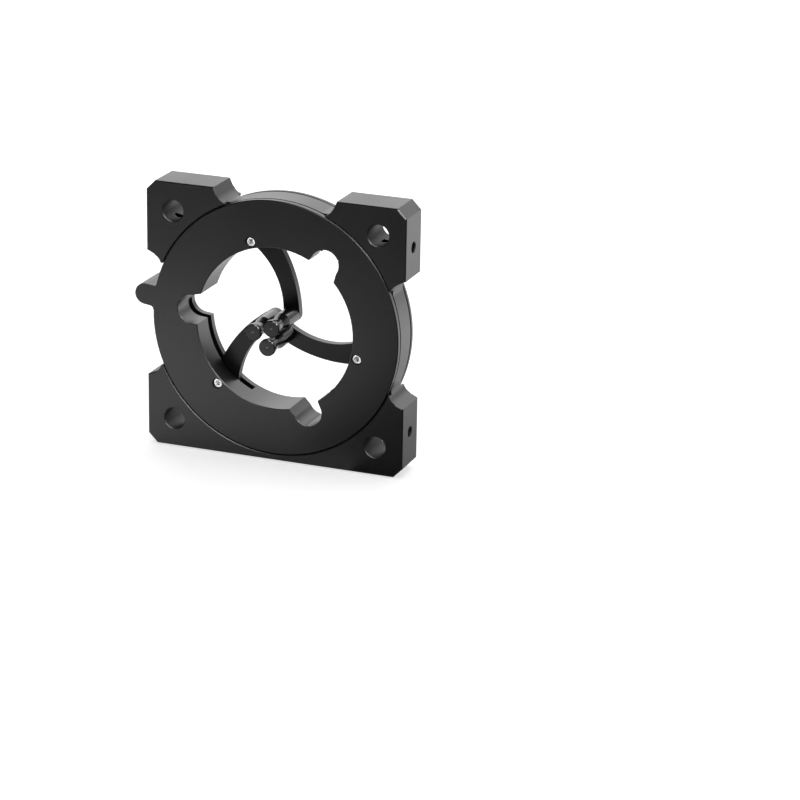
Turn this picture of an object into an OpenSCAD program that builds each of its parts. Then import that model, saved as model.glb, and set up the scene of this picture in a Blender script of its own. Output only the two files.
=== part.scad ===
// Self-centring lens mount for a cage of four rods.
// A square plate slides on the rods. A ring set into it turns by its lug, and three curved arms,
// pivoted in the ring and driven by slots in the plate, close their grooved posts on a lens.
// X is to the right and Z up as seen from the front, and +Y points to the back.
// The origin is the mouth of the post hole, in the middle of the flat lower side.

/* [Cage plate] */
// Width and height of the square plate
plate_w = 76; // [76:1:92]
// Thickness of the plate, from the front face to the back face
plate_t = 11.5; // [10.5:0.5:16]
// Width of the 45 degree cut on each corner, measured along a side
corner_cut = 2.65; // [1:0.05:4]
// Break of the outer edges on the front and back faces
edge_break = 0.3; // [0.1:0.05:0.6]
// Height of the corner bosses on a cut-back side, as the angle of their sides from the side's middle
boss_angle = 25.35; // [22:0.05:30]
// Fillet where a corner boss meets the round wall
boss_fillet = 3.3; // [2:0.1:4]
// Distance from the ring's recess at which the thin tip of a boss's fillet is cut blunt
boss_tip = 0.5; // [0.2:0.1:0.8]

/* [Rods and fixing holes] */
// Distance between neighbouring rods, centre to centre
rod_pitch = 60; // [58:1:64]
// Diameter of the rod holes
rod_d = 6; // [5:0.1:6.5]
// Chamfer at the mouths of the rod holes
rod_chamfer = 0.25; // [0.1:0.05:0.5]
// Thread diameter of the screws that lock the rods
rod_screw_d = 3; // [2.5:0.5:3]
// Length of a rod-locking screw
rod_screw_l = 3; // [3:0.5:4]
// Depth of a rod-locking screw below the side face
rod_screw_sunk = 2.4; // [1:0.1:2.6]
// Distance of a locking screw's axis from the middle of its rod, towards the ring
rod_screw_offset = 3.8; // [3.2:0.1:4]
// Distance that the hole of a locking screw runs past the middle of its rod
rod_screw_overrun = 1; // [0:0.1:2]
// Chamfer at the mouths of the locking screws' holes
rod_screw_chamfer = 0.2; // [0.1:0.05:0.4]
// Core diameter of the threaded post hole
post_hole_d = 3.3; // [2.5:0.1:4.2]
// Depth of the threaded post hole, above its chamfer
post_hole_depth = 5; // [3:0.5:5.5]
// Width of the chamfer at the mouth of the post hole
post_hole_chamfer = 0.42; // [0.2:0.02:0.6]

/* [Ring assembly] */
// Outer diameter of the front and back flanges and of the round wall between the bosses
ring_d = 72.5; // [70:0.5:73]
// Radial gap between the flanges and their recesses in the plate
flange_gap = 0.25; // [0.2:0.05:0.5]
// Break of the recess's edges on the front and back faces
recess_break = 0.2; // [0.1:0.05:0.3]
// Diameter of the clear aperture
aperture_d = 46; // [42:0.5:46]
// Outer diameter of the hub that turns in the plate
hub_d = 58.6; // [58.2:0.1:59]
// Radial running clearance of the hub
hub_gap = 0.1; // [0.05:0.05:0.2]
// Thickness of the front flange
front_flange_t = 1.8; // [1.4:0.1:2.2]
// Thickness of the back flange
back_flange_t = 1.5; // [1.2:0.1:1.6]
// Width of the gap behind the front flange, where a glide ring lies
front_gap = 0.3; // [0.25:0.05:0.45]
// Width of the gap in front of the back flange, where the other glide ring lies
rear_gap = 0.5; // [0.3:0.05:0.5]
// Break of the rings' outer edges
ring_break = 0.25; // [0.1:0.05:0.4]
// Break of the edges around the aperture
aperture_break = 0.2; // [0.1:0.05:0.2]
// Full thickness of the back ring at the hub
back_ring_t = 2.05; // [2.05:0.05:2.4]
// Radius of the round end of the notches that the posts drop into, and half of their width
notch_r = 4.05; // [3.9:0.05:4.2]
// Distance of the notches' round ends from the optical axis, to their centres
notch_at = 24.85; // [24.7:0.05:25]
// Angle of a notch from the pivot of its own arm, around the ring
notch_turn = 52.7; // [52:0.1:53.5]
// Break of the notches' edges on the front and back faces
notch_break = 0.15; // [0.1:0.05:0.2]
// Angle of the first pivot, anticlockwise from +X
pivot_turn = 106.7; // [100:0.1:112]
// Distance of the pivots from the optical axis
pivot_r = 24.8; // [24.7:0.05:25]

/* [Lug] */
// Angle of the lug, anticlockwise from +X, with the arms closed
lug_turn = 172.2; // [172:0.1:190]
// Width of the lug
lug_w = 6; // [4:0.1:6]
// Distance of the lug's tip from the optical axis
lug_reach = 42; // [40:0.1:44]
// Gap between the lug and the round wall behind the flange
lug_gap = 0.5; // [0.4:0.05:0.8]
// Fillet on the side of the lug that leads when the arms open
lug_fillet_lead = 0.5; // [0.3:0.1:0.5]
// Fillet on the other side of the lug
lug_fillet_trail = 1; // [0.3:0.1:1.5]

/* [Arms] */
// Distance from an arm's pivot to its post
arm_l = 23.3; // [23.2:0.01:23.5]
// Thickness of an arm
arm_t = 2.2; // [1.6:0.1:2.6]
// Clearance above and below an arm in its pocket
arm_gap = 0.1; // [0.05:0.05:0.3]
// Radius of the boss around the pivot
arm_root_r = 3.4; // [3:0.1:3.6]
// Radius of the arm's outer, bulging edge
arm_outer_r = 38; // [36:0.5:45]
// Radius of the arm's inner, hollow edge
arm_inner_r = 21.7; // [21:0.1:22.5]
// Swing of an arm relative to the ring, from closed to open
arm_swing = 56; // [55:0.5:57]
// Turn of the ring that swings the arms from closed to open
ring_travel = 10; // [9.8:0.1:10]
// Radius of the driving tooth on the arm's tail
tooth_r = 1.2; // [1:0.05:1.3]
// Clearance on each side of a tooth in its slot
tooth_gap = 0.15; // [0.12:0.01:0.2]
// Width of the tail just below the tooth
tail_w = 1.8; // [1.4:0.1:1.8]
// Width of the tail at the pivot
tail_root_w = 2.4; // [1.8:0.1:2.6]

/* [Posts] */
// Diameter of a post
post_d = 4.8; // [4.5:0.1:5]
// Gap left between the posts when they are closed
post_gap = 0.85; // [0.4:0.05:1]
// Height of a post in front of the front face
post_out = 7.35; // [5:0.05:12]
// Diameter at the bottom of the V groove
neck_d = 3.4; // [2.5:0.1:4]
// Distance of the groove's bottom from the front end of the post
neck_from_end = 4.7; // [3:0.1:5]
// Length of the plain rim in front of the groove
rim_l = 1.1; // [0.5:0.1:2]
// Length of the cone behind the groove's bottom
rear_cone_l = 2.8; // [1.5:0.1:3]
// Diameter of the spigot that is riveted into the arm
spigot_d = 3; // [2:0.1:3.4]

/* [Screws] */
// Thread diameter of the pivot screws
pivot_screw_d = 3; // [2.5:0.1:3]
// Depth of a pivot screw below the front face
pivot_screw_sunk = 0.8; // [0.3:0.1:1.5]
// Diameter of the dog point that carries the arm
dog_d = 2; // [1.6:0.1:2.2]
// Depth of the dog point in the back ring
dog_seat = 1.1; // [0.6:0.1:1.4]
// Width across flats of the sockets in all set screws
socket_af = 1.5; // [1.3:0.1:1.5]
// Thread diameter of the countersunk screws in the back ring
ring_screw_d = 2.5; // [2:0.1:3]
// Head diameter of the countersunk screws
ring_screw_head_d = 4.4; // [4:0.1:5]
// Length of the countersunk screws
ring_screw_l = 6; // [4:0.5:7]
// Angle of a countersunk screw from the pivot beside it, around the ring
ring_screw_turn = 39.3; // [36:0.1:44]

/* [Hidden] */
$fn = 96;

// Colours
anodised = [0.16, 0.16, 0.165];
glide_grey = [0.08, 0.08, 0.08];
steel = [0.72, 0.72, 0.74];

// Fits: a thread is drawn as a plain shank in a hole this much wider, and a pivot runs with this play
thread_fit = 0.02;
pivot_play = 0.03;
arm_count = 3;
sector = 360 / arm_count;

// Heights above the middle of the plate, towards the front
front_z = plate_t / 2;
back_z = -plate_t / 2;
flange_z = front_z - front_flange_t;
front_floor_z = flange_z - front_gap;
island_z = back_z + back_ring_t;
pocket_z = island_z + arm_t + 2 * arm_gap;
arm_z = island_z + arm_gap;
back_flange_z = back_z + back_flange_t;
back_floor_z = back_flange_z + rear_gap;

// Radii
axis_h = plate_w / 2;
ring_r = ring_d / 2;
recess_r = ring_r + flange_gap;
aperture_r = aperture_d / 2;
hub_r = hub_d / 2;
bore_r = hub_r + hub_gap;
post_r = post_d / 2;
far = plate_w;

// Corner bosses: the fillet touches both the round wall and the boss's side
fillet_centre_r = ring_r + boss_fillet;
fillet_angle = asin(boss_fillet / fillet_centre_r);
fillet_side_r = fillet_centre_r * cos(fillet_angle);
fillet_turn = boss_angle - fillet_angle;
tip_r = recess_r + boss_tip;
tip_angle = fillet_turn + acos((fillet_centre_r ^ 2 + tip_r ^ 2 - boss_fillet ^ 2) / (2 * fillet_centre_r * tip_r));

// Linkage: the pivot circle rolls on the tooth's circle, which sets the length of the tail
arm_ratio = arm_swing / ring_travel;
drive_r = pivot_r * arm_ratio / (arm_ratio - 1);
tail_l = drive_r - pivot_r;
slot_turn = pivot_turn - ring_travel / 2;
tail_turn = slot_turn - (arm_ratio - 1) * ring_travel / 2;
slot_end_r = drive_r + tooth_r + tooth_gap;
closed_r = (post_d + post_gap) / sqrt(3);
lean = acos((pivot_r ^ 2 + arm_l ^ 2 - closed_r ^ 2) / (2 * pivot_r * arm_l));
arm_turn = pivot_turn + 180 + lean;

// Pockets run from the middle of the notch to just past the arm's root, and leave an island between them
pocket_start = pivot_turn - notch_turn;
pocket_end = pivot_turn + 19;

// Notches: the corner that a post passes is led in by an arc about the pivot of its arm
lead_gap = 0.1;
lead_start = 20;
lead_end = arm_swing + 6;

// Glide rings stay clear of the drive slots
glide_inner_r = slot_end_r + 0.5;
lug_root_r = ring_r - 2;
glide_outer_r = ring_r - 0.75;
glide_play = 0.02;

// Countersunk screws sit in the middle of the island's width
ring_screw_r = (aperture_r + hub_r) / 2;
screw_head_lip = 0.15;
screw_head_cone = (ring_screw_head_d - ring_screw_d) / 2;

function polar(r, a) = [r * cos(a), r * sin(a)];
// Centre of the circle of radius r that touches two discs: r_a at the origin and r_b at [l, 0]
function blend_centre(a, b, l) = let(x = (a ^ 2 - b ^ 2 + l ^ 2) / (2 * l)) [x, -sqrt(a ^ 2 - x ^ 2)];
function unit(v) = v / norm(v);

// Places things drawn as seen from the front, with z towards the viewer, around the optical axis
module from_front() {
    translate([0, 0, axis_h]) rotate([90, 0, 0]) children();
}

module slab(z0, z1) {
    translate([0, 0, z0]) linear_extrude(z1 - z0) children();
}

module drum(r, z0, z1) {
    translate([0, 0, z0]) cylinder(r = r, h = z1 - z0);
}

// Conical mouth that opens a hole of radius r at height z, facing the front (dir = 1) or the back (dir = -1)
module mouth(r, width, z, dir) {
    over = 0.2;
    translate([0, 0, z - dir * (width + over)]) mirror([0, 0, dir > 0 ? 0 : 1])
        cylinder(r1 = r - over, r2 = r + width + over, h = width + 2 * over);
}

// Disc with both outer edges broken
module flange(z0, z1) {
    c = ring_break;
    rotate_extrude() polygon([
        [0, z0], [ring_r - c, z0], [ring_r, z0 + c], [ring_r, z1 - c], [ring_r - c, z1], [0, z1]
    ]);
}

module thrice() {
    for (k = [0 : arm_count - 1]) rotate(-sector * k) children();
}

// ---- Cage plate ----

module side_wedge(a) {
    polygon([[0, 0], [far, -far * tan(a)], [far, far * tan(a)]]);
}

// What is cut away on the right-hand side: the round wall stays, and the bosses keep filleted roots
module side_cut() {
    difference() {
        side_wedge(boss_angle);
        circle(r = fillet_side_r);
    }
    difference() {
        union() {
            side_wedge(fillet_turn);
            for (s = [-1, 1]) translate(polar(fillet_centre_r, s * fillet_turn)) circle(r = boss_fillet);
        }
        circle(r = ring_r);
    }
}

module plate_outline() {
    w = plate_w / 2;
    c = corner_cut;
    difference() {
        polygon([
            [-w + c, -w], [w - c, -w], [w, -w + c], [w, w - c],
            [w - c, w], [-w + c, w], [-w, w - c], [-w, -w + c]
        ]);
        for (a = [0, 90, 180]) rotate(a) side_cut();
    }
}

// Long bar whose section has broken corners: it trims the edges of two opposite sides
module edge_bar(w) {
    e = edge_break;
    rotate([90, 0, 0]) linear_extrude(2 * far, center = true) polygon([
        [-w / 2, back_z + e], [-w / 2 + e, back_z], [w / 2 - e, back_z], [w / 2, back_z + e],
        [w / 2, front_z - e], [w / 2 - e, front_z], [-w / 2 + e, front_z], [-w / 2, front_z - e]
    ]);
}

module plate_blank() {
    corner_w = (plate_w - corner_cut) * sqrt(2);
    intersection() {
        slab(back_z, front_z) plate_outline();
        edge_bar(plate_w);
        rotate(90) edge_bar(plate_w);
        rotate(45) edge_bar(corner_w);
        rotate(-45) edge_bar(corner_w);
    }
}

// Breaks the front edges of the two bosses on the right-hand side, along their straight flanks
module boss_breaks() {
    over = 0.2;
    for (s = [0, 1]) mirror([0, s, 0])
        rotate(boss_angle) translate([fillet_side_r + 0.1, 0, 0]) rotate([90, 0, 90]) linear_extrude(far) polygon([
            [-over, front_z - edge_break - over], [edge_break + over, front_z + over], [-over, front_z + over]
        ]);
}

// Cuts the thin tips of the fillets blunt, as deep as the front recess
module boss_tips() {
    slab(front_floor_z, front_z + 1) intersection() {
        side_wedge(tip_angle);
        circle(r = tip_r);
    }
}

module rod_holes() {
    for (x = [-1, 1], y = [-1, 1]) translate([x, y] * rod_pitch / 2) {
        drum(rod_d / 2, back_z - 1, front_z + 1);
        mouth(rod_d / 2, rod_chamfer, front_z, 1);
        mouth(rod_d / 2, rod_chamfer, back_z, -1);
    }
}

rod_screw_y = rod_pitch / 2 - rod_screw_offset;

// Runs from the side face past the flank of the rod hole
module rod_screw_holes() {
    r = (rod_screw_d + thread_fit) / 2;
    for (x = [0, 1], y = [-1, 1]) mirror([x, 0, 0]) translate([0, y * rod_screw_y, 0]) rotate([0, 90, 0]) {
        drum(r, rod_pitch / 2 - rod_screw_overrun, far);
        mouth(r, rod_screw_chamfer, plate_w / 2, 1);
    }
}

module post_hole() {
    translate([0, -axis_h, 0]) rotate([-90, 0, 0]) {
        translate([0, 0, -1]) cylinder(d = post_hole_d, h = 1 + post_hole_chamfer + post_hole_depth);
        translate([0, 0, post_hole_chamfer]) mirror([0, 0, 1])
            cylinder(r1 = post_hole_d / 2, r2 = post_hole_d / 2 + 2 * post_hole_chamfer, h = 2 * post_hole_chamfer);
    }
}

// Radial slots, open to the back, that hold the teeth of the arms
module drive_slots() {
    w = 2 * (tooth_r + tooth_gap);
    slab(back_floor_z - 1, pocket_z) thrice() rotate(slot_turn) {
        translate([pivot_r, -w / 2]) square([slot_end_r - w / 2 - pivot_r, w]);
        translate([slot_end_r - w / 2, 0]) circle(d = w);
    }
}

module frame() {
    color(anodised) from_front() difference() {
        plate_blank();
        drum(bore_r, back_z - 1, front_z + 1);
        drum(recess_r, front_floor_z, front_z + 1);
        drum(recess_r, back_z - 1, back_floor_z);
        mouth(recess_r, recess_break, front_z, 1);
        mouth(recess_r, recess_break, back_z, -1);
        for (a = [0, 90, 180], m = [0, 1]) rotate(a) mirror([0, 0, m]) {
            boss_breaks();
            boss_tips();
        }
        rod_holes();
        rod_screw_holes();
        post_hole();
        drive_slots();
    }
}

// ---- Ring assembly ----

// Straight-sided notches with round ends, open to the aperture
module notch_outline() {
    rotate(pivot_turn - notch_turn) {
        translate([notch_at, 0]) circle(r = notch_r);
        translate([aperture_r - notch_r, -notch_r]) square([notch_at - aperture_r + notch_r, 2 * notch_r]);
    }
    translate(polar(pivot_r, pivot_turn)) rotate(arm_turn) difference() {
        intersection() {
            circle(r = arm_l + post_r + lead_gap);
            polygon([[0, 0], polar(far, lead_start), polar(far, lead_end)]);
        }
        circle(r = arm_l - post_r - lead_gap);
    }
}

module notches() {
    slab(back_z - 1, front_z + 1) thrice() notch_outline();
}

// Broken edges of the notches' round ends and straight sides on the front face
module notch_breaks() {
    over = 0.2;
    thrice() rotate(pivot_turn - notch_turn) {
        translate([notch_at, 0, 0]) mouth(notch_r, notch_break, front_z, 1);
        rotate([90, 0, 90]) linear_extrude(notch_at) polygon([
            [-notch_r, front_z - notch_break], [notch_r, front_z - notch_break],
            [notch_r + notch_break + over, front_z + over], [-notch_r - notch_break - over, front_z + over]
        ]);
    }
}

// Round-ended finger lug, drawn pointing along +X
module lug_outline() {
    tip_x = lug_reach - lug_w / 2;
    translate([lug_root_r, -lug_w / 2]) square([tip_x - lug_root_r, lug_w]);
    translate([tip_x, 0]) circle(d = lug_w);
}

// Fillet between the lug's upper side and the flange, drawn for the lug along +X
module lug_fillet(r) {
    y = lug_w / 2 + r;
    x = sqrt((ring_r + r) ^ 2 - y ^ 2);
    difference() {
        polygon([[lug_root_r, 0], [x, 0], [x, y], unit([x, y]) * (ring_r - 1)]);
        translate([x, y]) circle(r = r);
    }
}

module lug() {
    rotate(lug_turn) {
        slab(flange_z, front_z) {
            lug_outline();
            mirror([0, 1]) lug_fillet(lug_fillet_lead);
            lug_fillet(lug_fillet_trail);
        }
        slab(back_z, flange_z) difference() {
            lug_outline();
            circle(r = ring_r + lug_gap);
        }
    }
}

module islands() {
    half = (pocket_start + sector - pocket_end) / 2;
    middle = pocket_end + half;
    intersection() {
        difference() {
            circle(r = hub_r);
            circle(r = aperture_r);
        }
        thrice() rotate(middle) side_wedge(half);
    }
}

module front_ring() {
    color(anodised) from_front() difference() {
        union() {
            flange(flange_z, front_z);
            drum(hub_r, pocket_z, flange_z + ring_break);
            slab(island_z, pocket_z + ring_break) islands();
            lug();
        }
        drum(aperture_r, pocket_z - 1, front_z + 1);
        mouth(aperture_r, aperture_break, front_z, 1);
        notches();
        notch_breaks();
        thrice() translate(polar(pivot_r, pivot_turn))
            drum((pivot_screw_d + thread_fit) / 2, pocket_z - 1, front_z + 1);
        thrice() translate(polar(ring_screw_r, pivot_turn + ring_screw_turn))
            drum((ring_screw_d + thread_fit) / 2, island_z - 1, back_z + ring_screw_l + 0.4);
    }
}

module back_ring() {
    color(anodised) from_front() difference() {
        union() {
            flange(back_z, back_flange_z);
            drum(hub_r, back_z + ring_break, island_z);
        }
        rotate_extrude() polygon([
            [0, back_z - 0.2], [aperture_r + aperture_break + 0.2, back_z - 0.2],
            [aperture_r, back_z + aperture_break], [aperture_r, island_z + 1], [0, island_z + 1]
        ]);
        notches();
        mirror([0, 0, 1]) notch_breaks();
        thrice() translate(polar(pivot_r, pivot_turn))
            drum(dog_d / 2 + thread_fit, island_z - dog_seat - 0.2, island_z + 1);
        thrice() translate(polar(ring_screw_r, pivot_turn + ring_screw_turn)) {
            drum(ring_screw_d / 2 + 0.15, back_z - 1, island_z + 1);
            drum(ring_screw_head_d / 2 + thread_fit, back_z - 1, back_z + screw_head_lip);
            translate([0, 0, back_z + screw_head_lip]) cylinder(
                r1 = ring_screw_head_d / 2 + thread_fit, r2 = ring_screw_d / 2 + thread_fit, h = screw_head_cone);
        }
    }
}

// Flat ring that lies in a gap between two heights
module glide_ring(z0, z1) {
    color(glide_grey) from_front() difference() {
        drum(glide_outer_r, z0 + glide_play, z1 - glide_play);
        drum(glide_inner_r, z0 - 1, z1 + 1);
    }
}

// ---- Arms and posts ----

// Curved blade between the pivot at the origin and the post at [arm_l, 0]
module blade() {
    outer_c = blend_centre(arm_outer_r - arm_root_r, arm_outer_r - post_r, arm_l);
    inner_c = blend_centre(arm_inner_r + arm_root_r, arm_inner_r + post_r, arm_l);
    tip = [arm_l, 0];
    bulge = 8;
    difference() {
        intersection() {
            translate(outer_c) circle(r = arm_outer_r);
            polygon([
                arm_root_r * unit(inner_c), [0, 0],
                (arm_root_r + bulge) * unit(-outer_c), tip + (post_r + bulge) * unit(tip - outer_c),
                tip, tip + post_r * unit(inner_c - tip)
            ]);
        }
        translate(inner_c) circle(r = arm_inner_r);
    }
    circle(r = arm_root_r);
    translate(tip) circle(r = post_r);
}

// Tapered tail with the round driving tooth, drawn from the pivot along +X
module tail() {
    polygon([[0, -tail_root_w / 2], [tail_l, -tail_w / 2], [tail_l, tail_w / 2], [0, tail_root_w / 2]]);
    translate([tail_l, 0]) circle(r = tooth_r);
}

module arm(k) {
    color(anodised) from_front() rotate(-sector * k) translate(polar(pivot_r, pivot_turn)) difference() {
        slab(arm_z, arm_z + arm_t) {
            rotate(arm_turn) blade();
            rotate(tail_turn) tail();
        }
        drum(dog_d / 2 + pivot_play, arm_z - 1, arm_z + arm_t + 1);
        rotate(arm_turn) translate([arm_l, 0]) drum((spigot_d + thread_fit) / 2, arm_z - 1, arm_z + arm_t + 1);
    }
}

module post(k) {
    end_z = front_z + post_out;
    neck_z = end_z - neck_from_end;
    arm_top = arm_z + arm_t;
    dimple_r = 0.45;
    dimple_depth = 0.12;
    rim_break = 0.25;
    color(anodised) from_front() rotate(-sector * k)
        translate(polar(pivot_r, pivot_turn)) rotate(arm_turn) translate([arm_l, 0])
            rotate_extrude() polygon([
                [0, arm_z], [spigot_d / 2, arm_z], [spigot_d / 2, arm_top], [post_r, arm_top],
                [post_r, neck_z - rear_cone_l], [neck_d / 2, neck_z], [post_r, end_z - rim_l],
                [post_r, end_z - rim_break], [post_r - rim_break, end_z], [dimple_r, end_z], [0, end_z - dimple_depth]
            ]);
}

// ---- Screws ----

// Hexagon socket sunk from height z
module socket(z, depth) {
    translate([0, 0, z - depth]) cylinder(d = socket_af / cos(30), h = depth + 1, $fn = 6);
}

module pivot_screw(k) {
    top_z = front_z - pivot_screw_sunk;
    edge = 0.25;
    color(steel) from_front() rotate(-sector * k) translate(polar(pivot_r, pivot_turn)) difference() {
        rotate_extrude() polygon([
            [0, island_z - dog_seat], [dog_d / 2, island_z - dog_seat], [dog_d / 2, pocket_z],
            [pivot_screw_d / 2, pocket_z + edge], [pivot_screw_d / 2, top_z - edge],
            [pivot_screw_d / 2 - edge, top_z], [0, top_z]
        ]);
        socket(top_z, 1.6);
    }
}

// Set screw lying along X, sunk in the side face, with a cone point towards the rod
module rod_screw(side, level) {
    r = rod_screw_d / 2;
    edge = 0.25;
    cone = 0.8;
    color(steel) from_front() mirror([side < 0 ? 1 : 0, 0, 0])
        translate([plate_w / 2 - rod_screw_sunk - rod_screw_l, level * rod_screw_y, 0]) rotate([0, 90, 0])
            difference() {
                rotate_extrude() polygon([
                    [0, 0], [r - cone, 0], [r, cone], [r, rod_screw_l - edge],
                    [r - edge, rod_screw_l], [0, rod_screw_l]
                ]);
                socket(rod_screw_l, 1.5);
            }
}

module ring_screw(k) {
    head_r = ring_screw_head_d / 2;
    r = ring_screw_d / 2;
    color(steel) from_front() rotate(-sector * k) translate(polar(ring_screw_r, pivot_turn + ring_screw_turn))
        translate([0, 0, back_z]) difference() {
            rotate_extrude() polygon([
                [0, 0], [head_r, 0], [head_r, screw_head_lip], [r, screw_head_lip + screw_head_cone],
                [r, ring_screw_l], [0, ring_screw_l]
            ]);
            translate([0, 0, -1]) cylinder(d = socket_af / cos(30), h = 2, $fn = 6);
        }
}

frame();
front_ring();
back_ring();
glide_ring(front_floor_z, flange_z);  // front_glide_ring
glide_ring(back_flange_z, back_floor_z);  // rear_glide_ring
arm(0);  // arm_1
arm(1);  // arm_2
arm(2);  // arm_3
post(0);  // post_1
post(1);  // post_2
post(2);  // post_3
pivot_screw(0);  // pivot_screw_1
pivot_screw(1);  // pivot_screw_2
pivot_screw(2);  // pivot_screw_3
rod_screw(-1, 1);  // rod_screw_upper_left
rod_screw(1, 1);  // rod_screw_upper_right
rod_screw(-1, -1);  // rod_screw_lower_left
rod_screw(1, -1);  // rod_screw_lower_right
ring_screw(0);  // ring_screw_1
ring_screw(1);  // ring_screw_2
ring_screw(2);  // ring_screw_3
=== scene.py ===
# %% [markdown]
# # A self-centring lens mount, finished in black anodised aluminium
# The real object is a square cage plate with a ring turning inside it. Three curved arms are pivoted in
# the ring, and their grooved posts close on a lens when the ring's lug is turned.
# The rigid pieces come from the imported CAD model. This script loads them, gives every one a finish, cuts
# the small threads that the CAD leaves plain, and sets up a pale studio with the camera and lights.

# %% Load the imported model
import math

import bpy
import bmesh
from mathutils import Matrix, Vector


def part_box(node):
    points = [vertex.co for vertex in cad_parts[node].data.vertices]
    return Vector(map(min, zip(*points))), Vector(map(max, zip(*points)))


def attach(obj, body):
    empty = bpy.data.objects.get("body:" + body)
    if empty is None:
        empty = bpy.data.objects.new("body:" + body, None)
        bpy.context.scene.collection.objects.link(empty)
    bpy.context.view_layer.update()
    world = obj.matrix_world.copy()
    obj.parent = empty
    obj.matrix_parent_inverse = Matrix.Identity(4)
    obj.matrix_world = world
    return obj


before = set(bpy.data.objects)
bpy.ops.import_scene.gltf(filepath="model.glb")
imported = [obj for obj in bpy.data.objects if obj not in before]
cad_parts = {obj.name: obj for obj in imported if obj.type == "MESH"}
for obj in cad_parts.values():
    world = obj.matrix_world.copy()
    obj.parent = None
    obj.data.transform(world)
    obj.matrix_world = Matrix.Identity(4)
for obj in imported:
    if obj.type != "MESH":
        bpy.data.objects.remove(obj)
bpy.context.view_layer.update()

# %% [markdown]
# ## Sizes used again and again
# Everything is in metres, with X to the right, Y to the back and Z up. The optical axis runs along Y, 38 mm
# above the plate's flat lower side. Places of screws and holes are read from the CAD nodes' boxes instead
# of being typed in, so a thread always sits in its own hole. The few round sizes below tell the finishes
# where a hole's wall or a broken edge is.

# %% Places
MM = 0.001
axis_height = 38 * MM
plate_low, plate_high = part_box("frame")
front_y = plate_low.y
back_y = plate_high.y
print(f"plate {1000 * (plate_high.x - plate_low.x):.1f} mm wide, {1000 * (back_y - front_y):.1f} mm thick")

rod_offset = 30 * MM             # from the optical axis to a rod hole, across and up
rod_hole_radius = 3 * MM
wall_radius = 36.4 * MM          # everything round lies inside this radius
ring_edge_radius = 36.11 * MM    # the middle of the broken edge round the ring
recess_edge_radius = 36.61 * MM  # the middle of the broken edge round the recess it lies in
plate_edge_start = 37.7 * MM     # from here outwards the plate's front edge is broken
lug_root = (-35.78 * MM, 0, 4.90 * MM)

numbers = (1, 2, 3)
corners = ("upper_left", "upper_right", "lower_left", "lower_right")

# %% [markdown]
# ## The camera
# The mount is seen from the front right and a little above, through a long lens, so that its edges run
# nearly parallel. The camera's three directions are built from an azimuth, an elevation and a slight roll,
# and its place is measured back from an aim point on the plate. A long lens far away is written as a focal
# length for Blender's standard 36 mm sensor.

# %% Camera
azimuth, elevation, roll = (math.radians(a) for a in (20.31, 19.14, 1.06))
aim = Vector((34.92 * MM, 0, axis_height - 17.46 * MM))
camera_distance = 837.5 * MM
focal_pixels = 3072.3
image_pixels = 800
sensor_mm = 36

level_ahead = Vector((-math.sin(azimuth), math.cos(azimuth), 0))
looking = math.cos(elevation) * level_ahead - math.sin(elevation) * Vector((0, 0, 1))
level_right = Vector((math.cos(azimuth), math.sin(azimuth), 0))
level_up = level_right.cross(looking)
right = math.cos(roll) * level_right + math.sin(roll) * level_up
up = math.cos(roll) * level_up - math.sin(roll) * level_right

camera_data = bpy.data.cameras.new("camera")
camera_data.sensor_width = sensor_mm
camera_data.lens = focal_pixels * sensor_mm / image_pixels
camera_data.clip_start, camera_data.clip_end = 0.02, 50
camera = bpy.data.objects.new("camera", camera_data)
bpy.context.scene.collection.objects.link(camera)
facing = Matrix((right, up, -looking)).transposed()
camera.matrix_world = Matrix.Translation(aim - camera_distance * looking) @ facing.to_4x4()
bpy.context.scene.camera = camera
print(f"lens {camera_data.lens:.1f} mm, camera at {[round(x, 3) for x in camera.matrix_world.translation]}")

# %% [markdown]
# ## Helpers for node materials
# Each finish is a small node tree around one Principled shader. A helper adds a node and fills in its
# sockets by name, another wires an output to a socket or writes a plain value there, so that a material
# below reads like its own recipe.
# Patterns use Object coordinates, which are metres on these pieces, so a noise scale of 1000 means about
# one blotch in a millimetre.

# %% Node helpers
def start_material(name):
    material = bpy.data.materials.new(name)
    material.use_nodes = True
    tree = material.node_tree
    shader = tree.nodes["Principled BSDF"]
    place = tree.nodes.new("ShaderNodeTexCoord")
    return material, tree, shader, place.outputs["Object"]


def add(tree, kind, **values):
    node = tree.nodes.new(kind)
    for name, value in values.items():
        if hasattr(node, name):
            setattr(node, name, value)
        else:
            node.inputs[name.replace("_", " ")].default_value = value
    return node


def fill(tree, socket, value):
    """Wires an output to the socket, or writes a number, a place or a colour into it."""
    if isinstance(value, bpy.types.NodeSocket):
        tree.links.new(value, socket)
    elif socket.type == "RGBA":
        socket.default_value = (*value, 1)
    else:
        socket.default_value = value


def noise(tree, place, scale, detail=3.0, roughness=0.5):
    node = add(tree, "ShaderNodeTexNoise", Scale=scale, Detail=detail, Roughness=roughness)
    tree.links.new(place, node.inputs["Vector"])
    return node.outputs["Fac"]


def spread(tree, value, low, high, start=0.3, end=0.7):
    node = add(tree, "ShaderNodeMapRange", From_Min=start, From_Max=end, To_Min=low, To_Max=high)
    tree.links.new(value, node.inputs["Value"])
    return node.outputs["Result"]


def blend(tree, kind, value, first, second):
    """A Mix node for kind VALUE or RGBA: first where value is 0, second where it is 1."""
    node = add(tree, "ShaderNodeMix", data_type={"VALUE": "FLOAT", "RGBA": "RGBA"}[kind])
    fill(tree, node.inputs[0], value)
    sockets = [socket for socket in node.inputs[2:] if socket.type == kind]
    for socket, choice in zip(sockets, (first, second)):
        fill(tree, socket, choice)
    return next(socket for socket in node.outputs if socket.type == kind)


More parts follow.
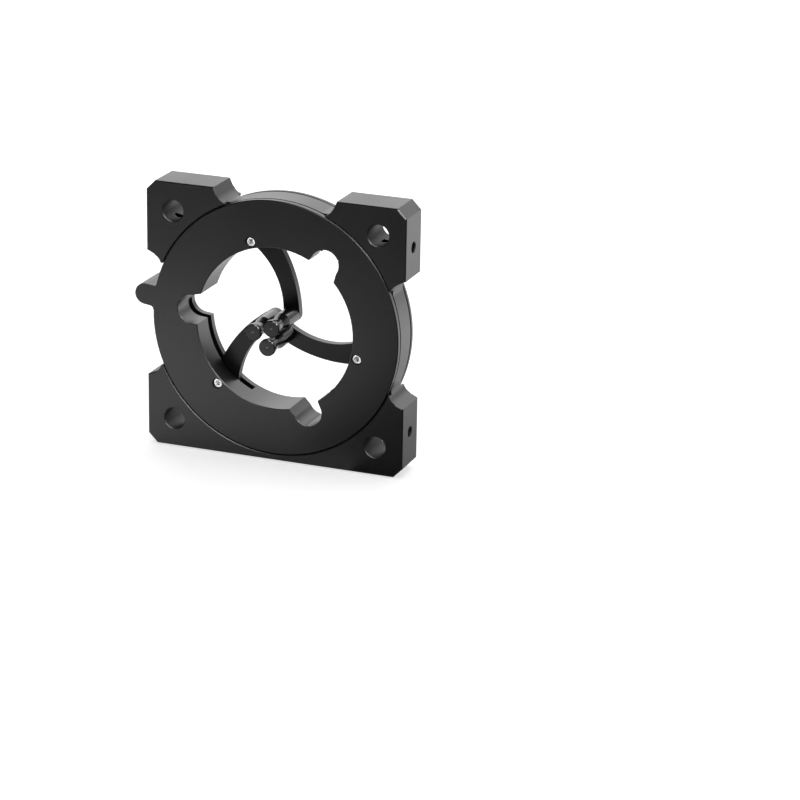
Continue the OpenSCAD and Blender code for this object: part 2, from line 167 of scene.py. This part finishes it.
def bump(tree, height, strength, depth, below=None):
    node = add(tree, "ShaderNodeBump", Strength=strength, Distance=depth)
    tree.links.new(height, node.inputs["Height"])
    if below is not None:
        tree.links.new(below, node.inputs["Normal"])
    return node.outputs["Normal"]


def math_node(tree, operation, first, second=0.5):
    node = add(tree, "ShaderNodeMath", operation=operation)
    fill(tree, node.inputs[0], first)
    fill(tree, node.inputs[1], second)
    return node.outputs[0]


def product(tree, first, *others):
    for other in others:
        first = math_node(tree, "MULTIPLY", first, other)
    return first


def separate(tree, vector):
    node = add(tree, "ShaderNodeSeparateXYZ")
    tree.links.new(vector, node.inputs[0])
    return node.outputs


def distance_to(tree, vector, point):
    node = add(tree, "ShaderNodeVectorMath", operation="DISTANCE")
    node.inputs[1].default_value = point
    tree.links.new(vector, node.inputs[0])
    return node.outputs["Value"]


# %% [markdown]
# ## Finding a hole or an edge
# Walls of holes and broken edges are found by their distance from an axis or from a face. Each finder
# gives 1 on its own faces and 0 elsewhere, and the step between is a tenth of a millimetre wide or less.

# %% Finders
def from_axis(tree, place):
    """Object coordinates shifted to the optical axis and laid flat along it."""
    flat = add(tree, "ShaderNodeMapping")
    flat.inputs["Location"].default_value = (0, 0, -axis_height)
    flat.inputs["Scale"].default_value = (1, 0, 1)
    tree.links.new(place, flat.inputs["Vector"])
    return flat.outputs["Vector"]


def folded(tree, place):
    """The place in one quarter of the plate: X and Z from the optical axis, without their signs."""
    node = add(tree, "ShaderNodeVectorMath", operation="ABSOLUTE")
    tree.links.new(from_axis(tree, place), node.inputs[0])
    return node.outputs[0]


def inside_of(tree, length, limit, step):
    return spread(tree, length, 1, 0, start=limit, end=limit + step)


def round_faces(tree, place):
    """The turned faces near the optical axis."""
    return inside_of(tree, distance_to(tree, from_axis(tree, place), (0, 0, 0)), wall_radius, 0.1 * MM)


def rod_holes(tree, place):
    """The walls of the four rod holes."""
    away = distance_to(tree, folded(tree, place), (rod_offset, 0, rod_offset))
    return inside_of(tree, away, rod_hole_radius + 0.04 * MM, 0.04 * MM)


def near_front(tree, place):
    """A layer as deep as a broken edge, at the plate's front face."""
    return inside_of(tree, separate(tree, place)["Y"], front_y + 0.26 * MM, 0.04 * MM)


def on_circle(tree, place, circle_radius):
    """Faces within 0.1 mm of a circle round the optical axis."""
    away = distance_to(tree, from_axis(tree, place), (0, 0, 0))
    off = math_node(tree, "ABSOLUTE", math_node(tree, "SUBTRACT", away, circle_radius))
    return inside_of(tree, off, 0.09 * MM, 0.02 * MM)


def plate_edges(tree, place):
    """The broken edges round the plate's front face."""
    quarter = separate(tree, folded(tree, place))
    outwards = math_node(tree, "MAXIMUM", quarter["X"], quarter["Z"])
    outside = spread(tree, outwards, 0, 1, start=plate_edge_start, end=plate_edge_start + 0.04 * MM)
    return product(tree, outside, near_front(tree, place))


def recess_edge(tree, place):
    """The upper right half of the broken edge round the recess that the ring lies in."""
    sides = separate(tree, from_axis(tree, place))
    across = math_node(tree, "ADD", sides["X"], sides["Z"])
    upper_right = spread(tree, across, 0, 1, start=0, end=15 * MM)
    return product(tree, on_circle(tree, place, recess_edge_radius), upper_right, near_front(tree, place))


def ring_edge(tree, place):
    """The broken edge round the ring's front face, which stops at the lug's root."""
    from_lug = distance_to(tree, from_axis(tree, place), lug_root)
    beside_lug = spread(tree, from_lug, 0, 1, start=3.2 * MM, end=3.6 * MM)
    return product(tree, on_circle(tree, place, ring_edge_radius), beside_lug)


def post_centre(tree, place, low, high):
    """The little centre hole in the head of the post whose box is given."""
    axis = (low + high) / 2
    away = distance_to(tree, from_axis(tree, place), (axis.x, 0, axis.z - axis_height))
    in_middle = inside_of(tree, away, 0.33 * MM, 0.09 * MM)
    in_head = inside_of(tree, separate(tree, place)["Y"], low.y + 0.8 * MM, 0.1 * MM)
    return product(tree, in_middle, in_head)


def where(tree, finder, there, elsewhere):
    """One value on the faces a finder gives, another everywhere else."""
    return spread(tree, finder, elsewhere, there, start=0, end=1)


# %% [markdown]
# ## Black anodised aluminium
# The plate, the ring and the arms are milled, then bead-blasted and dyed black. Blasting leaves tiny
# dimples that spread a reflection into a soft sheen, and the dye is a touch uneven from place to place.
# A fine noise makes the dimples through the bump input, a coarse one varies the tone and the roughness.
# The shader stays non-metallic, because the dyed oxide on top is a clear skin over a black ground.
# The plate's turned round wall is a bit smoother than its flat faces. The walls of the rod holes are
# rougher and duller, and the broken edges round the front faces are duller still. Along the upper right
# half of the recess's edge the reflection is turned down further, a painted line of shade along the gap.

# %% Anodised finish
def anodised_finish(name, tone, roughness, grain, ior=1.65, machined=None):
    material, tree, shader, place = start_material(name)
    cloudy = noise(tree, place, 45, detail=4)
    speckle = noise(tree, place, 5200, detail=2, roughness=0.6)
    dark = tuple(0.82 * t for t in tone)
    light = tuple(1.18 * t for t in tone)
    colour = blend(tree, "RGBA", spread(tree, cloudy, 0, 1), dark, light)
    tree.links.new(colour, shader.inputs["Base Color"])
    skin = spread(tree, cloudy, roughness - 0.03, roughness + 0.03)
    if machined == "plate":
        holes = rod_holes(tree, place)
        smooth_wall = where(tree, round_faces(tree, place), 0.88, 1)
        skin = product(tree, skin, smooth_wall, where(tree, holes, 1.25, 1))
        dull_edges = where(tree, plate_edges(tree, place), 0.15, 1)
        # The upper right half of the recess edge reflects less: painted shade along the gap there.
        painted_gap_shade = where(tree, recess_edge(tree, place), 0.1, 1)
        shine = product(tree, where(tree, holes, 0.26, 0.5), dull_edges, painted_gap_shade)
        tree.links.new(shine, shader.inputs["Specular IOR Level"])
    if machined == "ring":
        shine = where(tree, ring_edge(tree, place), 0.2, 0.5)
        tree.links.new(shine, shader.inputs["Specular IOR Level"])
    tree.links.new(skin, shader.inputs["Roughness"])
    tree.links.new(bump(tree, speckle, grain, 0.02 * MM), shader.inputs["Normal"])
    shader.inputs["IOR"].default_value = ior
    return material


black_skin = (0.013, 0.013, 0.0133)
arm_skin = (0.010, 0.010, 0.0102)
# The threads are darker and reflect less than the plate they are cut in: painted shade for the inside of the
# holes.
thread_tone_with_painted_shade = (0.006, 0.006, 0.0061)
plate_finish = anodised_finish("anodised_plate", black_skin, 0.41, 0.25, machined="plate")
ring_finish = anodised_finish("anodised_ring", black_skin, 0.38, 0.22, machined="ring")
arm_finish = anodised_finish("anodised_arm", arm_skin, 0.34, 0.18, ior=1.42)
thread_finish_with_painted_shade = anodised_finish("anodised_thread_painted_shade", thread_tone_with_painted_shade, 0.50, 0.20, ior=1.35)

# %% [markdown]
# ## Turned posts
# The posts are turned on a lathe before they are dyed, so their skin carries fine rings from the tool.
# The rings are waves along the optical axis, which is Y, and they tilt the surface very slightly. The
# little centre hole in each head is coloured pale grey, a painted highlight for the light it catches.

# %% Turned finish
def turned_finish(name, tone, roughness, low, high):
    material, tree, shader, place = start_material(name)
    waves = add(tree, "ShaderNodeTexWave", wave_type="BANDS", bands_direction="Y",
                Scale=900.0, Distortion=0.6, Detail=2.0)
    tree.links.new(place, waves.inputs["Vector"])
    fine = bump(tree, noise(tree, place, 6000, detail=2), 0.12, 0.02 * MM)
    rings = bump(tree, waves.outputs["Fac"], 0.25, 0.01 * MM, below=fine)
    tree.links.new(rings, shader.inputs["Normal"])
    cloudy = noise(tree, place, 300)
    light = tuple(1.3 * t for t in tone)
    skin = blend(tree, "RGBA", spread(tree, cloudy, 0, 1), tone, light)
    # The centre hole gets a pale grey colour: a painted highlight.
    painted_centre_highlight = blend(tree, "RGBA", post_centre(tree, place, low, high), skin, (0.22, 0.22, 0.22))
    tree.links.new(painted_centre_highlight, shader.inputs["Base Color"])
    tree.links.new(spread(tree, cloudy, roughness - 0.04, roughness + 0.04), shader.inputs["Roughness"])
    shader.inputs["IOR"].default_value = 1.5
    return material


# %% [markdown]
# ## Steel screws
# The pivot screws at the front and the countersunk screws at the back are bare stainless steel, finely
# scratched by the tool that cut them. The pivot screws' steel is coloured almost white, a painted highlight
# for the light their heads reflect. The locking screws, deep in the plate's sides, are coloured near black,
# painted shade for the depth of their holes.

# %% Steel
def steel_finish(name, dark, light, rough):
    material, tree, shader, place = start_material(name)
    scratches = noise(tree, place, 3500, detail=5, roughness=0.7)
    shader.inputs["Metallic"].default_value = 1
    colour = blend(tree, "RGBA", spread(tree, scratches, 0, 1), (dark,) * 3, (light,) * 3)
    tree.links.new(colour, shader.inputs["Base Color"])
    tree.links.new(spread(tree, scratches, rough - 0.06, rough + 0.08), shader.inputs["Roughness"])
    tree.links.new(bump(tree, scratches, 0.15, 0.02 * MM), shader.inputs["Normal"])
    return material


screw_steel = steel_finish("stainless_steel", 0.50, 0.66, 0.30)
# Near-white steel colour: a painted highlight on the pivot screw heads.
steel_with_painted_highlight = steel_finish("steel_with_painted_highlight", 0.94, 1.0, 0.38)
# Near-black steel colour: painted shade for the locking screws deep in their holes.
steel_with_painted_shade = steel_finish("steel_with_painted_shade", 0.015, 0.03, 0.45)

# %% [markdown]
# ## Glide rings
# A thin ring of dark, slippery plastic lies in the gap on each side of the ring. Only its edge shows, as
# the dark line round the rim.

# %% Glide ring plastic
def glide_plastic(name):
    material, tree, shader, place = start_material(name)
    mottled = noise(tree, place, 900)
    colour = blend(tree, "RGBA", spread(tree, mottled, 0, 1), (0.008,) * 3, (0.015,) * 3)
    tree.links.new(colour, shader.inputs["Base Color"])
    tree.links.new(spread(tree, mottled, 0.5, 0.65), shader.inputs["Roughness"])
    tree.links.new(bump(tree, mottled, 0.1, 0.03 * MM), shader.inputs["Normal"])
    return material


glide_finish = glide_plastic("glide_plastic")

# %% Put the finishes on the CAD pieces
finish_of = {
    "frame": plate_finish, "front_ring": ring_finish, "back_ring": ring_finish,
    "front_glide_ring": glide_finish, "rear_glide_ring": glide_finish,
}
for number in numbers:
    low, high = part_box(f"post_{number}")
    post_finish = turned_finish(f"anodised_post_{number}", (0.006, 0.006, 0.0062), 0.22, low, high)
    finish_of[f"post_{number}"] = post_finish
    finish_of[f"arm_{number}"] = arm_finish
    finish_of[f"pivot_screw_{number}"] = steel_with_painted_highlight
    finish_of[f"ring_screw_{number}"] = screw_steel
for corner in corners:
    finish_of[f"rod_screw_{corner}"] = steel_with_painted_shade
for name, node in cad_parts.items():
    node.data.materials.clear()
    node.data.materials.append(finish_of[name])
print("finished CAD pieces:", len(finish_of))

# %% [markdown]
# ## Threads
# Each locking screw sits a little way down its threaded hole, and so does each pivot screw, so a few turns
# of thread show above it. The post hole in the lower side is threaded for its whole depth.
# A thread is one triangle carried along a helix. A three-sided circle is added where the wall starts, its
# point towards the hole's middle, and the Screw modifier winds it round the hole. Its two end faces are
# filled first, so that the ridge is closed.

# %% Thread maker
steps_in_turn = 24
m3_size = {"radius": 1.51 * MM, "pitch": 0.5 * MM}
m4_size = {"radius": 1.65 * MM, "pitch": 0.7 * MM}
ridges = []


def deselect_all():
    bpy.ops.object.select_all(action="DESELECT")


def thread(name, mouth, inward, length, body, radius, pitch):
    """Winds a ridge on the wall of a hole that starts at mouth and runs along inward."""
    deselect_all()
    height = 0.55 * pitch
    bpy.ops.mesh.primitive_circle_add(vertices=3, radius=0.66 * height, fill_type="NGON", location=(0, 0, 0))
    ridge = bpy.context.object
    ridge.name = name
    bpy.ops.object.mode_set(mode="EDIT")
    bpy.ops.mesh.select_all(action="SELECT")
    edit = bmesh.from_edit_mesh(ridge.data)
    in_wall = radius + 0.02 * MM
    half_foot = 0.42 * pitch
    triangle = [(radius - height, 0, 0), (in_wall, 0, -half_foot), (in_wall, 0, half_foot)]
    for vertex, corner in zip(edit.verts, triangle):
        vertex.co = corner
    bmesh.update_edit_mesh(ridge.data)
    bpy.ops.object.mode_set(mode="OBJECT")
    turns = max(1, round((length - 0.9 * pitch) / pitch * steps_in_turn) / steps_in_turn)
    winding = ridge.modifiers.new("winding", "SCREW")
    winding.axis = "Z"
    winding.angle = 2 * math.pi * turns
    winding.screw_offset = pitch * turns
    winding.steps = winding.render_steps = int(steps_in_turn * turns)
    winding.use_merge_vertices = False
    bpy.ops.object.modifier_apply(modifier="winding")
    bpy.ops.object.mode_set(mode="EDIT")
    bpy.ops.mesh.select_all(action="DESELECT")
    bpy.ops.mesh.select_mode(type="EDGE")
    bpy.ops.mesh.select_non_manifold()
    bpy.ops.mesh.edge_face_add()
    bpy.ops.mesh.select_all(action="SELECT")
    bpy.ops.mesh.normals_make_consistent(inside=False)
    bpy.ops.object.mode_set(mode="OBJECT")
    into_hole = Vector(inward).to_track_quat("Z", "X").to_matrix().to_4x4()
    ridge.matrix_world = Matrix.Translation(Vector(mouth) + 0.45 * pitch * Vector(inward)) @ into_hole
    bpy.ops.object.transform_apply(location=True, rotation=True, scale=True)
    bpy.ops.object.shade_smooth_by_angle(angle=math.radians(35))
    # The thread finish carries painted shade for the inside of the hole.
    ridge.data.materials.append(thread_finish_with_painted_shade)
    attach(ridge, body)
    ridges.append(ridge)


# %% Threads above the locking screws, the pivot screws and in the post hole
for corner in corners:
    low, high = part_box(f"rod_screw_{corner}")
    centre = (low + high) / 2
    side = 1 if centre.x > 0 else -1
    head_x = high.x if side > 0 else low.x
    face_x = plate_high.x if side > 0 else plate_low.x
    start_x = face_x - side * 0.9 * MM
    thread(f"rod_screw_thread_{corner}", (start_x, centre.y, centre.z), (-side, 0, 0),
           abs(start_x - head_x), "plate", **m3_size)
for number in numbers:
    low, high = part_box(f"pivot_screw_{number}")
    centre = (low + high) / 2
    thread(f"pivot_thread_{number}", (centre.x, front_y, centre.z), (0, 1, 0),
           low.y - front_y, "ring", **m3_size)
thread("post_hole_thread", (0, 0, 0.45 * MM), (0, 0, 1), 4.6 * MM, "plate", **m4_size)
for ridge in ridges:
    print(ridge.name, len(ridge.data.polygons), "faces")

# %% [markdown]
# ## Floor and backdrop
# The mount stands on a plain white floor. To the camera it also glows, so that it reads as white as far as
# the horizon and still keeps the mount's shadow. To glossy rays it glows too, faintly near the mount and
# more a hand's breadth away, which gives the dark faces their soft gradients. It sheds no extra light on
# the mount.

# %% Floor
deselect_all()
bpy.ops.mesh.primitive_plane_add(size=8, location=(0, 0, -0.2 * MM))
floor = bpy.context.object
floor.name = "floor"
floor_material = bpy.data.materials.new("white_floor")
floor_material.use_nodes = True
tree = floor_material.node_tree
tree.nodes.clear()
output = add(tree, "ShaderNodeOutputMaterial")
paint = add(tree, "ShaderNodeBsdfDiffuse", Color=(0.82, 0.82, 0.82, 1))
glow = add(tree, "ShaderNodeEmission", Color=(1, 1, 1, 1))
both = add(tree, "ShaderNodeAddShader")
choose = add(tree, "ShaderNodeMixShader")
rays = add(tree, "ShaderNodeLightPath").outputs
spot = add(tree, "ShaderNodeTexCoord").outputs["Object"]

away = distance_to(tree, spot, (30 * MM, 0, 0))
glow_for_gloss = spread(tree, away, 0.10, 0.90, start=0.03, end=0.145)
glow_for_camera = spread(tree, away, 0.62, 1.05, start=0.15, end=0.8)
brightness = blend(tree, "VALUE", rays["Is Camera Ray"], glow_for_gloss, glow_for_camera)
tree.links.new(brightness, glow.inputs["Strength"])

seen = math_node(tree, "MAXIMUM", rays["Is Camera Ray"], rays["Is Glossy Ray"])
glows = math_node(tree, "MAXIMUM", seen, rays["Is Transmission Ray"])
tree.links.new(glows, choose.inputs["Fac"])
tree.links.new(paint.outputs[0], both.inputs[0])
tree.links.new(glow.outputs[0], both.inputs[1])
tree.links.new(paint.outputs[0], choose.inputs[1])
tree.links.new(both.outputs[0], choose.inputs[2])
tree.links.new(choose.outputs[0], output.inputs["Surface"])
floor.data.materials.append(floor_material)

# %% [markdown]
# ## Studio light
# Black parts are shaped by what they reflect. A wide softbox behind and above gives the upper faces their
# pale sheen, one on the right does the same for the side faces, and one overhead casts the shadow under
# the mount. Two small lamps at the front draw the thin bright lines along the round edges. They are seen by
# glossy rays alone, as are the black cards further on. The pivot screws' small steel heads get a lamp of
# their own on the front left, linked to them only. The world is white to the camera. In reflections it is
# dim in front and low down, bright behind and dark towards the ceiling.

# %% World and lamps
world = bpy.data.worlds.new("studio")
bpy.context.scene.world = world
world.use_nodes = True
sky = world.node_tree
background = sky.nodes["Background"]
background.inputs["Color"].default_value = (1, 1, 1, 1)
direction = separate(sky, add(sky, "ShaderNodeTexCoord").outputs["Generated"])
front_to_back = spread(sky, direction["Y"], 0.12, 0.85, start=-0.9, end=0.9)
up_is_dark = spread(sky, direction["Z"], 1, 0.08, start=0.45, end=0.65)
low_is_dim = spread(sky, direction["Z"], 0.6, 1, start=0.0, end=0.3)
reflected = product(sky, front_to_back, up_is_dark, low_is_dim)
sky_rays = add(sky, "ShaderNodeLightPath").outputs
strength = blend(sky, "VALUE", sky_rays["Is Camera Ray"], reflected, 1)
sky.links.new(strength, background.inputs["Strength"])


def softbox(name, place, width, height, power):
    """A rectangular lamp that faces the middle of the mount."""
    data = bpy.data.lights.new(name, "AREA")
    data.shape = "RECTANGLE"
    data.size, data.size_y = width, height
    data.energy = power
    lamp = bpy.data.objects.new(name, data)
    bpy.context.scene.collection.objects.link(lamp)
    lamp.location = place
    lamp.rotation_mode = "QUATERNION"
    towards_mount = Vector((0, 0, axis_height)) - Vector(place)
    lamp.rotation_quaternion = towards_mount.to_track_quat("-Z", "Y")
    print(f"{name}: {power} W over {width} x {height} m")
    return lamp


softbox("softbox_back", (-0.5, 1.6, 0.80), 2.4, 1.1, 12)
overhead = softbox("softbox_top", (0.0, 0.2, 1.6), 1.6, 1.6, 14)
overhead.visible_glossy = False
softbox("softbox_right", (1.4, 0.6, 0.5), 1.0, 0.8, 4)
edge_lights = [
    softbox("edge_light_right", (0.95, -0.70, 0.99), 0.5, 0.5, 17),
    softbox("edge_light_over", (0.15, -0.62, 1.34), 0.5, 0.5, 8),
]
for edge_light in edge_lights:
    edge_light.visible_diffuse = False

screw_heads = bpy.data.collections.new("screw_heads")
for number in numbers:
    screw_heads.objects.link(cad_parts[f"pivot_screw_{number}"])
screw_light = softbox("screw_light", (-0.30, -0.85, 0.16), 0.5, 0.3, 5)
screw_light.light_linking.receiver_collection = screw_heads

# %% [markdown]
# ## Black cards for the front face
# A dark, flat face looks dark only if it has something dark to reflect. In a studio, black cards stand
# round such a part, just out of the camera's sight. Here four cards are seen by glossy rays alone, so they
# darken the reflections and cast no shadow: a wide one in front, a tall one on the left and two lying low
# on the right.

# %% Black cards
black_card = bpy.data.materials.new("black_card")
black_card.use_nodes = True
card_shader = black_card.node_tree.nodes["Principled BSDF"]
card_shader.inputs["Base Color"].default_value = (0.02, 0.02, 0.02, 1)
card_shader.inputs["Specular IOR Level"].default_value = 0


def card(name, place, turn, width, height):
    deselect_all()
    bpy.ops.mesh.primitive_plane_add(size=1, location=place, rotation=turn)
    board = bpy.context.object
    board.name = name
    board.scale = (width, height, 1)
    board.data.materials.append(black_card)
    board.visible_camera = board.visible_diffuse = False
    board.visible_shadow = board.visible_transmission = False


upright = (math.radians(90), 0, 0)
sideways = (0, math.radians(90), 0)
lying = (0, 0, 0)
card("card_front", (0, -0.138, 0.1), upright, 1.4, 0.2)
card("card_left", (-0.30, -0.05, 0.2), sideways, 0.4, 0.6)
card("card_low_right", (0.203, -0.084, 0.0003), lying, 0.40, 0.132)
card("card_low_near", (0.093, -0.0105, 0.0003), lying, 0.14, 0.015)

# %% Finish
bpy.context.scene.view_settings.view_transform = "Standard"
